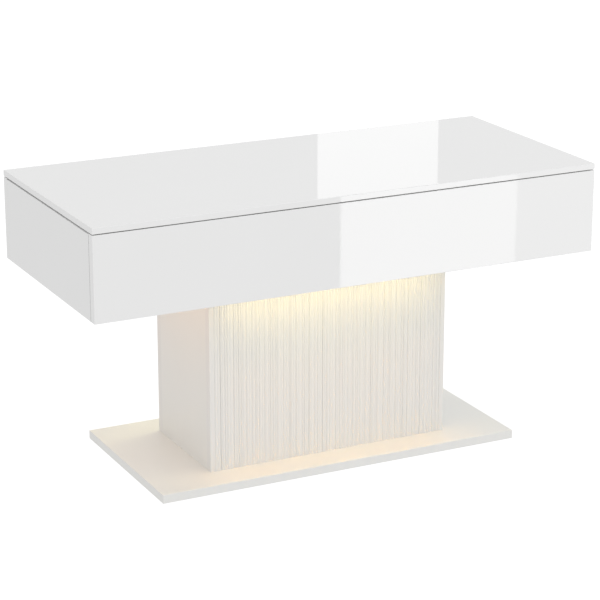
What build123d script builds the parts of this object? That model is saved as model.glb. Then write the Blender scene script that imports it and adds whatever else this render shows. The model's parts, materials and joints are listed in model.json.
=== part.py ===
from build123d import *
from math import acos, atan2, cos, degrees, hypot, radians, sin
import os

# Lift top coffee table: a one-piece lid on a shallow storage box, carried by a
# fluted pedestal on a flat base board, with LED light lines under the box.
# Millimetres. Origin: centre of the footprint on the floor. +X runs along the
# table's length, -Y is the front, +Z is up. The lid is modelled closed.

# ---- overall sizes ---------------------------------------------------------
LENGTH = 900
DEPTH = 400
HEIGHT = 485
LID_THICK = 10
BOX_UNDERSIDE = 333
BASE_LENGTH = 655
BASE_DEPTH = 325
PEDESTAL_LENGTH = 438
PEDESTAL_DEPTH = 216
BOARD = 15
DIVIDER_BOARD = 12
PAD_THICK = 1.5
PAD_RADIUS = 12
PAD_X = (-300, 0, 300)
PAD_Y = (-140, 140)
BUMPER_THICK = 1.5
BUMPER_RADIUS = 4
BUMPER_X = 400
END_PANEL_DROP = 1.5
EDGE_ROUND = 0.8
DIVIDER_X = 150
DIVIDER_DROP = 14
DRILL_GAP = 0.1

# ---- levels and faces worked out from them ---------------------------------
LID_UNDERSIDE = HEIGHT - LID_THICK
PANEL_TOP = LID_UNDERSIDE - BUMPER_THICK
END_PANEL_TOP = PANEL_TOP - END_PANEL_DROP
BOX_FLOOR = BOX_UNDERSIDE + BOARD
BASE_TOP = PAD_THICK + BOARD
INNER_X = LENGTH / 2 - BOARD
INNER_Y = DEPTH / 2 - BOARD
PEDESTAL_X = PEDESTAL_LENGTH / 2
PEDESTAL_Y = PEDESTAL_DEPTH / 2
PEDESTAL_INNER_Y = PEDESTAL_Y - BOARD
PEDESTAL_INNER_X = PEDESTAL_X - BOARD

# ---- fluted faces ----------------------------------------------------------
FLUTE_MARGIN = 8
FLUTE_MEAN_WIDTH = 4.8
FLUTE_WIDTH_SWING = 0.34
FLUTE_DEPTH = 1.3
FLUTE_DEPTH_SWING = 0.35
REED_CREST_DROP = 0.05

# ---- lift mechanism, in the plane Y, Z -------------------------------------
FRONT_PIVOT = (-150, 432)
REAR_PIVOT = (-80, 402)
LINK_LENGTH = 180
LINK_REST_ANGLE = 8
LINK_OPEN_ANGLE = 100
LINK_HALF_WIDTH = 12
LINK_THICK = 3
PLATE_THICK = 2.5
PIN_RADIUS = 4
PIN_HEAD_RADIUS = 6.5
RUNNING_GAP = 0.05
OPEN_PIVOT_GAP = 0.25
WASHER_RADIUS = 8
LINK_OUTER_X = INNER_X - PLATE_THICK - 1.5
LINK_INNER_X = LINK_OUTER_X - LINK_THICK
TOP_PLATE_OUTER_X = LINK_INNER_X - 1.2
TOP_PLATE_INNER_X = TOP_PLATE_OUTER_X - PLATE_THICK
BASE_PLATE_INNER_X = INNER_X - PLATE_THICK
SPRING_X = 412
SPRING_ARM = 28
SPRING_ANCHOR = (-10, 382)
STOP_RADIUS = 3
STOP_REACH = 30
STOP_GAP = 0.3

# ---- springs ---------------------------------------------------------------
SPRING_WIRE = 1
SPRING_COIL_RADIUS = 5.5
SPRING_TURNS = 30
SPRING_EYE_RADIUS = 5
SPRING_NECK = 5
SPRING_STUD_RADIUS = 3

# ---- light lines -----------------------------------------------------------
CHANNEL_LENGTH = 376
CHANNEL_WIDTH = 16
CHANNEL_HEIGHT = 7
CHANNEL_WALL = 1
CHANNEL_STANDOFF = 34
END_CAP_THICK = 1.5
STRIP_WIDTH = 10
STRIP_THICK = 0.4
LED_PITCH = 16.6
LED_LENGTH = 3.5
LED_WIDTH = 2.8
LED_HEIGHT = 0.8
LEAD_RADIUS = 1.6
LEAD_HOLE_X = 197
LEAD_HOLE_Z = 326
GROMMET_RADIUS = 5


# ---- small helpers ---------------------------------------------------------
def block(x, y, z):
    """A box between the two limits given on each axis."""
    size = (x[1] - x[0], y[1] - y[0], z[1] - z[0])
    centre = ((x[0] + x[1]) / 2, (y[0] + y[1]) / 2, (z[0] + z[1]) / 2)
    return Pos(*centre) * Box(*size)


def rod(start, direction, radius, length):
    """A round bar from start along direction."""
    place = Plane(origin=start, z_dir=direction)
    return place * Cylinder(radius, length, align=(Align.CENTER, Align.CENTER, Align.MIN))


def cone(start, direction, radius, end_radius, length):
    """A tapered round bar from start along direction."""
    place = Plane(origin=start, z_dir=direction)
    return place * Cone(radius, end_radius, length, align=(Align.CENTER, Align.CENTER, Align.MIN))


def moved(point, direction, distance):
    """The point that far along direction."""
    return tuple(p + d * distance for p, d in zip(point, direction))


def opposite(direction):
    return tuple(-d for d in direction)


def group(shapes):
    """Separate solids that share a node."""
    return Compound(children=[solid for shape in shapes for solid in shape.solids()])


def mirror_x(shape):
    return mirror(shape, about=Plane.YZ)


def mirror_y(shape):
    return mirror(shape, about=Plane.XZ)


def polar(centre, radius, angle):
    """The point at that radius and angle, in degrees, about a centre in the plane Y, Z."""
    return (centre[0] + radius * cos(radians(angle)), centre[1] + radius * sin(radians(angle)))


def side_plate(circles, x0, x1):
    """A plate standing in the plane Y, Z whose outline wraps round the given circles."""
    edges = [Pos(y, z) * Edge.make_circle(radius) for (y, z), radius in circles]
    outline = make_hull(edges)
    plane = Plane(origin=(x0, 0, 0), x_dir=(0, 1, 0), z_dir=(1, 0, 0))
    return extrude(plane * outline, amount=x1 - x0)


# ---- fasteners, each with the hole that it needs ---------------------------
CAM_RADIUS = 7.5
CAM_DEPTH = 12.5
CAM_REACH = 24
CAM_BOLT_RADIUS = 3.4
CAM_THREAD_RADIUS = 3
CAM_THREAD_LENGTH = 10
DOWEL_RADIUS = 4
DOWEL_IN_EDGE = 15
DOWEL_IN_FACE = 10
CONFIRMAT_HEAD_RADIUS = 5
CONFIRMAT_HEAD = 4
CONFIRMAT_RADIUS = 3.2
CONFIRMAT_LENGTH = 50
HEX_KEY_RADIUS = 2.2


class Fitting:
    """A cam lock: a disc let into one board's face, and a bolt into its neighbour's face."""

    def __init__(self, joint, toward, face_normal):
        self.disc_centre = moved(joint, opposite(toward), CAM_REACH)
        self.disc_centre = moved(self.disc_centre, face_normal, BOARD / 2)
        self.inward = opposite(face_normal)
        self.toward = toward
        self.joint = joint

    def disc(self):
        body = rod(self.disc_centre, self.inward, CAM_RADIUS, CAM_DEPTH)
        slot_start = moved(self.disc_centre, self.inward, BOARD / 2)
        body -= rod(slot_start, self.toward, CAM_BOLT_RADIUS + DRILL_GAP, CAM_RADIUS + 1)
        key = rod(self.disc_centre, self.inward, HEX_KEY_RADIUS, 2)
        return body - key

    def bolt(self):
        shank_length = CAM_REACH - 1
        start = moved(self.joint, opposite(self.toward), shank_length)
        shank = rod(start, self.toward, CAM_BOLT_RADIUS, shank_length)
        return shank + rod(self.joint, self.toward, CAM_THREAD_RADIUS, CAM_THREAD_LENGTH)

    def edge_holes(self):
        pocket = rod(self.disc_centre, self.inward, CAM_RADIUS + DRILL_GAP, CAM_DEPTH + DRILL_GAP)
        start = moved(self.joint, opposite(self.toward), CAM_REACH)
        return [pocket, rod(start, self.toward, CAM_BOLT_RADIUS + DRILL_GAP, CAM_REACH)]

    def face_holes(self):
        return [rod(self.joint, self.toward, CAM_THREAD_RADIUS + DRILL_GAP, CAM_THREAD_LENGTH + DRILL_GAP)]


class Dowel:
    """A beech dowel between one board's edge and its neighbour's face."""

    def __init__(self, joint, toward):
        self.joint = joint
        self.toward = toward

    def peg(self):
        start = moved(self.joint, opposite(self.toward), DOWEL_IN_EDGE)
        length = DOWEL_IN_EDGE + DOWEL_IN_FACE
        body = rod(start, self.toward, DOWEL_RADIUS, length)
        ends = body.edges().filter_by(GeomType.CIRCLE)
        return chamfer(ends, 1)

    def edge_holes(self):
        depth = DOWEL_IN_EDGE + DRILL_GAP
        start = moved(self.joint, opposite(self.toward), depth)
        return [rod(start, self.toward, DOWEL_RADIUS + DRILL_GAP, depth)]

    def face_holes(self):
        return [rod(self.joint, self.toward, DOWEL_RADIUS + DRILL_GAP, DOWEL_IN_FACE + DRILL_GAP)]


class Confirmat:
    """A furniture screw through one board's face into the next board's edge, its head flush."""

    def __init__(self, head, direction):
        self.head = head
        self.direction = direction

    def screw(self):
        shank_start = moved(self.head, self.direction, CONFIRMAT_HEAD)
        shank_length = CONFIRMAT_LENGTH - CONFIRMAT_HEAD
        body = rod(self.head, self.direction, CONFIRMAT_HEAD_RADIUS, CONFIRMAT_HEAD)
        body += rod(shank_start, self.direction, CONFIRMAT_RADIUS, shank_length)
        return body - rod(self.head, self.direction, HEX_KEY_RADIUS, 2.5)

    def hole(self):
        length = CONFIRMAT_LENGTH + DRILL_GAP
        head_hole = rod(self.head, self.direction, CONFIRMAT_HEAD_RADIUS + DRILL_GAP, CONFIRMAT_HEAD)
        return [head_hole, rod(self.head, self.direction, CONFIRMAT_RADIUS + DRILL_GAP, length)]


def cut_all(board, holes):
    return board - holes if holes else board


# ---- where the fasteners go ------------------------------------------------
def box_corner_places(heights):
    """The joints between the end panels' edges and the front and rear panels' faces."""
    return [
        ((side * (LENGTH / 2 - BOARD / 2), face * INNER_Y, z), (0, face, 0), (-side, 0, 0))
        for side in (-1, 1)
        for face in (-1, 1)
        for z in heights
    ]


BOX_CAM_HEIGHTS = (362,)
BOX_DOWEL_HEIGHTS = (400, 450)
BOX_CAMS = [Fitting(*place) for place in box_corner_places(BOX_CAM_HEIGHTS)]
BOX_DOWELS = [Dowel(joint, toward) for joint, toward, _ in box_corner_places(BOX_DOWEL_HEIGHTS)]

FLOOR_CAM_X = (-340, 0, 340)
FLOOR_DOWEL_X = (-260, -100, 100, 260)
FLOOR_MIDDLE = BOX_UNDERSIDE + BOARD / 2
FLOOR_CAMS = [
    Fitting((x, face * INNER_Y, FLOOR_MIDDLE), (0, face, 0), (0, 0, -1))
    for x in FLOOR_CAM_X
    for face in (-1, 1)
]
FLOOR_DOWELS = [
    Dowel((x, face * INNER_Y, FLOOR_MIDDLE), (0, face, 0)) for x in FLOOR_DOWEL_X for face in (-1, 1)
]

DIVIDER_DOWEL_HEIGHTS = (375, 435)
DIVIDER_DOWELS = [
    Dowel((side * DIVIDER_X, face * INNER_Y, z), (0, face, 0))
    for side in (-1, 1)
    for face in (-1, 1)
    for z in DIVIDER_DOWEL_HEIGHTS
]

PEDESTAL_SIDE_MIDDLE = PEDESTAL_X - BOARD / 2
PEDESTAL_CAM_HEIGHTS = (75, 275)
PEDESTAL_DOWEL_HEIGHTS = (115, 175, 235)


def pedestal_joints(x, heights):
    return [((x, face * PEDESTAL_INNER_Y, z), (0, face, 0)) for face in (-1, 1) for z in heights]


def pedestal_cams(x, face_normal):
    return [Fitting(joint, toward, face_normal) for joint, toward in pedestal_joints(x, PEDESTAL_CAM_HEIGHTS)]


def pedestal_dowels(x):
    return [Dowel(joint, toward) for joint, toward in pedestal_joints(x, PEDESTAL_DOWEL_HEIGHTS)]


LEFT_SIDE_CAMS = pedestal_cams(-PEDESTAL_SIDE_MIDDLE, (1, 0, 0))
RIGHT_SIDE_CAMS = pedestal_cams(PEDESTAL_SIDE_MIDDLE, (-1, 0, 0))
CENTRE_CAMS = pedestal_cams(0, (-1, 0, 0))
LEFT_SIDE_DOWELS = pedestal_dowels(-PEDESTAL_SIDE_MIDDLE)
RIGHT_SIDE_DOWELS = pedestal_dowels(PEDESTAL_SIDE_MIDDLE)
CENTRE_DOWELS = pedestal_dowels(0)
PEDESTAL_CAMS = LEFT_SIDE_CAMS + RIGHT_SIDE_CAMS + CENTRE_CAMS
PEDESTAL_DOWELS = LEFT_SIDE_DOWELS + RIGHT_SIDE_DOWELS + CENTRE_DOWELS

FLUTED_MIDDLE_Y = PEDESTAL_Y - BOARD / 2
SIDE_SCREW_Y = (-45, 45)
FLUTED_SCREW_X = 110
UPRIGHT_PLACES = [(side * PEDESTAL_SIDE_MIDDLE, y) for side in (-1, 1) for y in SIDE_SCREW_Y]
UPRIGHT_PLACES += [(side * FLUTED_SCREW_X, face * FLUTED_MIDDLE_Y) for side in (-1, 1) for face in (-1, 1)]
BASE_SCREWS = [Confirmat((x, y, PAD_THICK), (0, 0, 1)) for x, y in UPRIGHT_PLACES]
BOX_SCREWS = [Confirmat((x, y, BOX_FLOOR), (0, 0, -1)) for x, y in UPRIGHT_PLACES]
UPRIGHT_HOLES = [hole for screw in BASE_SCREWS + BOX_SCREWS for hole in screw.hole()]


def holes_of(fasteners, kind):
    return [hole for fastener in fasteners for hole in getattr(fastener, kind)()]


# ---- boards ----------------------------------------------------------------
def base_plate():
    x = (-BASE_LENGTH / 2, BASE_LENGTH / 2)
    y = (-BASE_DEPTH / 2, BASE_DEPTH / 2)
    board = block(x, y, (PAD_THICK, BASE_TOP))
    board = fillet(board.edges(), EDGE_ROUND)
    return cut_all(board, holes_of(BASE_SCREWS, "hole"))


def glide_pads():
    return group([rod((x, y, 0), (0, 0, 1), PAD_RADIUS, PAD_THICK) for x in PAD_X for y in PAD_Y])


def flute_widths(total):
    """Reed widths that wander about their mean, scaled to fill the fluted width exactly."""
    count = round(total / FLUTE_MEAN_WIDTH)
    raw = [1 + FLUTE_WIDTH_SWING * (sin(2.4 * i) + 0.6 * sin(5.3 * i + 1)) for i in range(count)]
    return [width * total / sum(raw) for width in raw]


def flute_depth(index):
    return FLUTE_DEPTH * (1 + FLUTE_DEPTH_SWING * sin(3.7 * index + 0.5))


def fluted_panel():
    """The front panel: flat margins, and between them upright reeds with a round top each."""
    x = -PEDESTAL_X + FLUTE_MARGIN
    depth = flute_depth(0)
    edges = [Line((-PEDESTAL_X, -PEDESTAL_Y), (x, -PEDESTAL_Y))]
    edges.append(Line((x, -PEDESTAL_Y), (x, -PEDESTAL_Y + depth)))
    for index, width in enumerate(flute_widths(PEDESTAL_LENGTH - 2 * FLUTE_MARGIN)):
        start = (x, -PEDESTAL_Y + depth)
        depth = flute_depth(index + 1)
        end = (x + width, -PEDESTAL_Y + depth)
        edges.append(ThreePointArc(start, (x + width / 2, -PEDESTAL_Y + REED_CREST_DROP), end))
        x = end[0]
    corners = [(x, -PEDESTAL_Y + depth), (x, -PEDESTAL_Y), (PEDESTAL_X, -PEDESTAL_Y)]
    corners += [(PEDESTAL_X, -PEDESTAL_INNER_Y), (-PEDESTAL_X, -PEDESTAL_INNER_Y), (-PEDESTAL_X, -PEDESTAL_Y)]
    edges += [Line(first, second) for first, second in zip(corners, corners[1:])]
    section = make_face(edges)
    board = extrude(Pos(0, 0, BASE_TOP) * section, amount=BOX_UNDERSIDE - BASE_TOP, dir=(0, 0, 1))
    lead_hole = rod((LEAD_HOLE_X, -PEDESTAL_Y - 1, LEAD_HOLE_Z), (0, 1, 0), GROMMET_RADIUS, BOARD + 2)
    face_holes = holes_of(PEDESTAL_CAMS, "face_holes") + holes_of(PEDESTAL_DOWELS, "face_holes")
    return cut_all(board, face_holes + UPRIGHT_HOLES + [lead_hole])


INLET_X = 150
INLET_Z = 60
INLET_RADIUS = 5.5
INLET_FLANGE_RADIUS = 8.5
INLET_FLANGE_THICK = 2
INLET_BACK_Y = PEDESTAL_INNER_Y - 7


def rear_fluted_panel():
    board = mirror_y(fluted_panel())
    seat_radius = INLET_FLANGE_RADIUS + 0.5
    seat = rod((INLET_X, PEDESTAL_Y + 1, INLET_Z), (0, -1, 0), seat_radius, INLET_FLANGE_THICK + 1)
    hole = rod((INLET_X, PEDESTAL_Y + 1, INLET_Z), (0, -1, 0), INLET_RADIUS + DRILL_GAP, BOARD + 2)
    return board - [seat, hole]


def pedestal_upright(x, cams, dowels):
    inner_y = PEDESTAL_INNER_Y
    board = block((x - BOARD / 2, x + BOARD / 2), (-inner_y, inner_y), (BASE_TOP, BOX_UNDERSIDE))
    edge_holes = holes_of(cams, "edge_holes") + holes_of(dowels, "edge_holes")
    return cut_all(board, edge_holes + UPRIGHT_HOLES)


CENTRE_NOTCH = 40
CENTRE_NOTCH_HEIGHT = 20


def pedestal_centre():
    """The middle upright, with a notch at its top for the leads."""
    board = pedestal_upright(0, CENTRE_CAMS, CENTRE_DOWELS)
    notch_z = (BOX_UNDERSIDE - CENTRE_NOTCH_HEIGHT, BOX_UNDERSIDE + 1)
    return board - block((-BOARD, BOARD), (-CENTRE_NOTCH / 2, CENTRE_NOTCH / 2), notch_z)


def box_bottom():
    board = block((-INNER_X, INNER_X), (-INNER_Y, INNER_Y), (BOX_UNDERSIDE, BOX_FLOOR))
    edge_holes = holes_of(FLOOR_CAMS, "edge_holes") + holes_of(FLOOR_DOWELS, "edge_holes")
    return cut_all(board, edge_holes + holes_of(BOX_SCREWS, "hole"))


def box_front():
    board = block((-LENGTH / 2, LENGTH / 2), (-DEPTH / 2, -INNER_Y), (BOX_UNDERSIDE, PANEL_TOP))
    board = fillet(board.edges(), EDGE_ROUND)
    cams = BOX_CAMS + FLOOR_CAMS
    dowels = BOX_DOWELS + FLOOR_DOWELS + DIVIDER_DOWELS
    return cut_all(board, holes_of(cams, "face_holes") + holes_of(dowels, "face_holes"))


def box_rear():
    return mirror_y(box_front())


def box_end():
    """The right end panel, let in between the front and rear panels."""
    board = block((INNER_X, LENGTH / 2), (-INNER_Y, INNER_Y), (BOX_UNDERSIDE, END_PANEL_TOP))
    outer_edges = board.edges().filter_by(Axis.Y).group_by(Axis.X)[-1]
    board = fillet(outer_edges, EDGE_ROUND)
    screw_holes = [bracket_screw_hole(y, z) for y, z in BRACKET_SCREW_PLACES]
    return cut_all(board, holes_of(BOX_CAMS, "edge_holes") + holes_of(BOX_DOWELS, "edge_holes") + screw_holes)


def divider():
    x = (DIVIDER_X - DIVIDER_BOARD / 2, DIVIDER_X + DIVIDER_BOARD / 2)
    board = block(x, (-INNER_Y, INNER_Y), (BOX_FLOOR, PANEL_TOP - DIVIDER_DROP))
    return cut_all(board, holes_of(DIVIDER_DOWELS, "edge_holes"))


def lid_panel():
    board = block((-LENGTH / 2, LENGTH / 2), (-DEPTH / 2, DEPTH / 2), (LID_UNDERSIDE, HEIGHT))
    board = fillet(board.edges(), EDGE_ROUND)
    return cut_all(board, [lid_screw_hole(place) for place in top_screw_places()])


def lid_bumpers():
    """Clear pads on the front and rear panels' top edges, which carry the closed lid."""
    middle_y = DEPTH / 2 - BOARD / 2
    places = [(x, y) for x in (-BUMPER_X, BUMPER_X) for y in (-middle_y, middle_y)]
    return group([rod((x, y, PANEL_TOP), (0, 0, 1), BUMPER_RADIUS, BUMPER_THICK) for x, y in places])


# ---- lift mechanism, right side --------------------------------------------
def link_end(pivot):
    return polar(pivot, LINK_LENGTH, LINK_REST_ANGLE)


FRONT_TOP_PIVOT = link_end(FRONT_PIVOT)
REAR_TOP_PIVOT = link_end(REAR_PIVOT)
TRAVEL = LINK_OPEN_ANGLE - LINK_REST_ANGLE
# The stud sits on the lever so that the spring lies in one line with the lid shut and open.
ANCHOR_OFFSET = (SPRING_ANCHOR[0] - FRONT_PIVOT[0], SPRING_ANCHOR[1] - FRONT_PIVOT[1])
ANCHOR_ANGLE = degrees(atan2(ANCHOR_OFFSET[1], ANCHOR_OFFSET[0]))
FOOT_DISTANCE = SPRING_ARM * cos(radians(TRAVEL / 2))
FOOT_ANGLE = ANCHOR_ANGLE - degrees(acos(FOOT_DISTANCE / hypot(*ANCHOR_OFFSET)))
STUD_REST_ANGLE = FOOT_ANGLE - TRAVEL / 2 + 360
STUD = polar(FRONT_PIVOT, SPRING_ARM, STUD_REST_ANGLE)


def stop_place():
    """The stop pin's centre: it touches the front link's front edge when the lid is up."""
    along = polar(FRONT_PIVOT, STOP_REACH, LINK_OPEN_ANGLE)
    return polar(along, LINK_HALF_WIDTH + STOP_RADIUS + STOP_GAP, LINK_OPEN_ANGLE + 90)


STOP = stop_place()
BRACKET_FOOT = (-158, 394)
BRACKET_SCREW_PLACES = [BRACKET_FOOT, (-118, 396), (-118, 424), (-45, 388)]


BRACKET_SCREW_HEAD_RADIUS = 4
BRACKET_SCREW_NECK_RADIUS = 2
BRACKET_SCREW_HEAD = 2.2
BRACKET_SCREW_RADIUS = 1.75
BRACKET_SCREW_SHANK = 12


def pivot_hole(place, radius):
    y, z = place
    return rod((0, y, z), (1, 0, 0), radius, LENGTH / 2)


def bracket_screw(y, z, gap=0):
    """A countersunk screw into the end panel, its head flush with the plate, grown by gap all round."""
    head_start = (BASE_PLATE_INNER_X, y, z)
    shank_end = BASE_PLATE_INNER_X + BRACKET_SCREW_HEAD + BRACKET_SCREW_SHANK + gap
    shank_start = BASE_PLATE_INNER_X + BRACKET_SCREW_HEAD - gap
    head_radius = BRACKET_SCREW_HEAD_RADIUS + gap
    neck_radius = BRACKET_SCREW_NECK_RADIUS + gap
    head = cone(head_start, (1, 0, 0), head_radius, neck_radius, BRACKET_SCREW_HEAD)
    shank_length = shank_end - shank_start
    return head + rod((shank_start, y, z), (1, 0, 0), BRACKET_SCREW_RADIUS + gap, shank_length)


def bracket_screw_hole(y, z):
    return bracket_screw(y, z, DRILL_GAP)


def bracket_screws():
    return [bracket_screw(y, z) for y, z in BRACKET_SCREW_PLACES]


def base_bracket():
    circles = [(FRONT_PIVOT, 14), (REAR_PIVOT, 14), (SPRING_ANCHOR, 12), (STOP, 9), (BRACKET_FOOT, 10)]
    plate = side_plate(circles, BASE_PLATE_INNER_X, INNER_X)
    holes = [pivot_hole(place, PIN_RADIUS) for place in (FRONT_PIVOT, REAR_PIVOT, SPRING_ANCHOR)]
    holes += [pivot_hole(STOP, STOP_RADIUS)]
    return plate - holes - [bracket_screw_hole(y, z) for y, z in BRACKET_SCREW_PLACES]


def base_pin(place):
    """A shoulder pin riveted in the base bracket, its head on the inner side of the link."""
    y, z = place
    shaft_start = LINK_INNER_X - 0.3
    head = rod((shaft_start - 1.8, y, z), (1, 0, 0), PIN_HEAD_RADIUS, 1.8)
    head = fillet(head.edges().group_by(Axis.X)[0], 0.8)
    return head + rod((shaft_start, y, z), (1, 0, 0), PIN_RADIUS, INNER_X - shaft_start)


def base_washer(place):
    y, z = place
    ring = rod((LINK_OUTER_X + 0.3, y, z), (1, 0, 0), WASHER_RADIUS, 1.2)
    return ring - pivot_hole(place, PIN_RADIUS)


def stop_pin():
    y, z = STOP
    return rod((LINK_INNER_X - 1, y, z), (1, 0, 0), STOP_RADIUS, INNER_X - LINK_INNER_X + 1)


def spring_anchor():
    y, z = SPRING_ANCHOR
    inner_end = SPRING_X - 5
    shaft = rod((inner_end, y, z), (1, 0, 0), SPRING_STUD_RADIUS, BASE_PLATE_INNER_X - inner_end)
    collar = rod((inner_end - 1.5, y, z), (1, 0, 0), SPRING_STUD_RADIUS + 2, 1.5)
    return shaft + collar + rod((BASE_PLATE_INNER_X, y, z), (1, 0, 0), PIN_RADIUS, PLATE_THICK)


def link(pivot, top_gap):
    top = link_end(pivot)
    plate = side_plate([(pivot, LINK_HALF_WIDTH), (top, LINK_HALF_WIDTH)], LINK_INNER_X, LINK_OUTER_X)
    return plate, [pivot_hole(pivot, PIN_RADIUS + RUNNING_GAP), pivot_hole(top, PIN_RADIUS + top_gap)]


def front_link(top_gap):
    plate, holes = link(FRONT_PIVOT, top_gap)
    lever = side_plate([(FRONT_PIVOT, 11), (STUD, 8)], LINK_INNER_X, LINK_OUTER_X)
    return plate + lever - holes - pivot_hole(STUD, SPRING_STUD_RADIUS)


def rear_link():
    plate, holes = link(REAR_PIVOT, OPEN_PIVOT_GAP)
    return plate - holes


def spring_stud():
    y, z = STUD
    inner_end = SPRING_X - 5
    shaft = rod((inner_end, y, z), (1, 0, 0), SPRING_STUD_RADIUS, LINK_OUTER_X - inner_end)
    return shaft + rod((inner_end - 1.5, y, z), (1, 0, 0), SPRING_STUD_RADIUS + 2, 1.5)


FLANGE_WIDTH = 28
FLANGE_Y = (6, 140)
LID_SCREW_LENGTH = 7
LID_SCREW_RADIUS = 1.75


def top_screw_places():
    return [
        (side * (TOP_PLATE_OUTER_X - offset), y)
        for side in (-1, 1)
        for offset, y in ((12, 22), (20, 55), (12, 88), (20, 122))
    ]


def lid_screw(place):
    x, y = place
    head_top = LID_UNDERSIDE - PLATE_THICK
    head = fillet(rod((x, y, head_top - 2), (0, 0, 1), 3.5, 2).edges().group_by(Axis.Z)[0], 1)
    return head + rod((x, y, head_top), (0, 0, 1), LID_SCREW_RADIUS, PLATE_THICK + LID_SCREW_LENGTH)


def lid_screw_hole(place):
    x, y = place
    start = (x, y, LID_UNDERSIDE - PLATE_THICK)
    return rod(start, (0, 0, 1), LID_SCREW_RADIUS + DRILL_GAP, PLATE_THICK + LID_SCREW_LENGTH + DRILL_GAP)


def top_bracket():
    circles = [(FRONT_TOP_PIVOT, 13), (REAR_TOP_PIVOT, 13)]
    circles += [((FLANGE_Y[0] + 6, LID_UNDERSIDE - 6.5), 6), ((FLANGE_Y[1] - 6, LID_UNDERSIDE - 6.5), 6)]
    plate = side_plate(circles, TOP_PLATE_INNER_X, TOP_PLATE_OUTER_X)
    x = (TOP_PLATE_OUTER_X - FLANGE_WIDTH, TOP_PLATE_OUTER_X)
    flange = block(x, FLANGE_Y, (LID_UNDERSIDE - PLATE_THICK, LID_UNDERSIDE))
    holes = [pivot_hole(place, PIN_RADIUS) for place in (FRONT_TOP_PIVOT, REAR_TOP_PIVOT)]
    return plate + flange - holes - [lid_screw_hole(place) for place in top_screw_places() if place[0] > 0]


def top_pin(place):
    """A shoulder pin riveted in the top bracket, its head on the outer side of the link."""
    y, z = place
    head_start = LINK_OUTER_X + 0.3
    head = rod((head_start, y, z), (1, 0, 0), PIN_HEAD_RADIUS, 1.6)
    head = fillet(head.edges().group_by(Axis.X)[-1], 0.7)
    return head + rod((TOP_PLATE_INNER_X, y, z), (1, 0, 0), PIN_RADIUS, head_start - TOP_PLATE_INNER_X)


def top_washer(place):
    y, z = place
    ring = rod((TOP_PLATE_OUTER_X, y, z), (1, 0, 0), WASHER_RADIUS, 0.9)
    return ring - pivot_hole(place, PIN_RADIUS)


# ---- springs ---------------------------------------------------------------
def spring():
    """An extension spring from the lever's stud to the bracket's anchor, drawn out with the lid shut."""
    span = hypot(SPRING_ANCHOR[0] - STUD[0], SPRING_ANCHOR[1] - STUD[1])
    coil_start = SPRING_EYE_RADIUS + SPRING_NECK
    coil_length = span - 2 * coil_start
    pitch = coil_length / SPRING_TURNS
    helix = Helix(pitch, coil_length, SPRING_COIL_RADIUS)
    profile = Plane(origin=helix @ 0, z_dir=helix % 0) * Circle(SPRING_WIRE)
    coil = Pos(0, 0, coil_start) * sweep(profile, path=helix, is_frenet=True)
    ends = []
    coil_end = span - coil_start
    for eye_z, neck_z, coil_z in ((0, SPRING_EYE_RADIUS, coil_start), (span, coil_end, coil_end)):
        ends.append(Pos(0, 0, eye_z) * Rot(90, 0, 0) * Torus(SPRING_EYE_RADIUS, SPRING_WIRE))
        ends.append(rod((0, 0, neck_z), (0, 0, 1), SPRING_WIRE, SPRING_NECK))
        ends.append(rod((0, 0, coil_z), (1, 0, 0), SPRING_WIRE, SPRING_COIL_RADIUS))
        ends.append(Pos(SPRING_COIL_RADIUS, 0, coil_z) * Sphere(SPRING_WIRE * 1.05))
    whole = coil + ends
    direction = (0, SPRING_ANCHOR[0] - STUD[0], SPRING_ANCHOR[1] - STUD[1])
    across = (0, direction[2], -direction[1])
    return Plane(origin=(SPRING_X, *STUD), z_dir=direction, x_dir=across) * whole


# ---- light lines and their electrics ---------------------------------------
CHANNEL_Y = (-PEDESTAL_Y - CHANNEL_STANDOFF - CHANNEL_WIDTH, -PEDESTAL_Y - CHANNEL_STANDOFF)
CHANNEL_MIDDLE_Y = sum(CHANNEL_Y) / 2
CHANNEL_X = (-CHANNEL_LENGTH / 2, CHANNEL_LENGTH / 2)
CHANNEL_Z = (BOX_UNDERSIDE - CHANNEL_HEIGHT, BOX_UNDERSIDE)
DIFFUSER_THICK = 1.2
DIFFUSER_GAP = 0.05
STRIP_END_GAP = 4
LEAD_CLEARANCE = 0.5
LEAD_EXIT_Z = BOX_UNDERSIDE - CHANNEL_WALL - STRIP_THICK - LEAD_RADIUS - LEAD_CLEARANCE


def led_channel():
    """The front aluminium channel, open below, under the box's overhang in front of the pedestal."""
    outer = block(CHANNEL_X, CHANNEL_Y, CHANNEL_Z)
    inner_y = (CHANNEL_Y[0] + CHANNEL_WALL, CHANNEL_Y[1] - CHANNEL_WALL)
    return outer - block(CHANNEL_X, inner_y, (CHANNEL_Z[0] - 1, CHANNEL_Z[1] - CHANNEL_WALL))


def led_diffuser():
    """A shallow lens strip that closes the channel from below."""
    inset = CHANNEL_WALL + DIFFUSER_GAP
    y = (CHANNEL_Y[0] + inset, CHANNEL_Y[1] - inset)
    cover = block(CHANNEL_X, y, (CHANNEL_Z[0], CHANNEL_Z[0] + DIFFUSER_THICK))
    bottom_edges = cover.edges().filter_by(Axis.X).group_by(Axis.Z)[0]
    return fillet(bottom_edges, 0.5)


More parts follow.
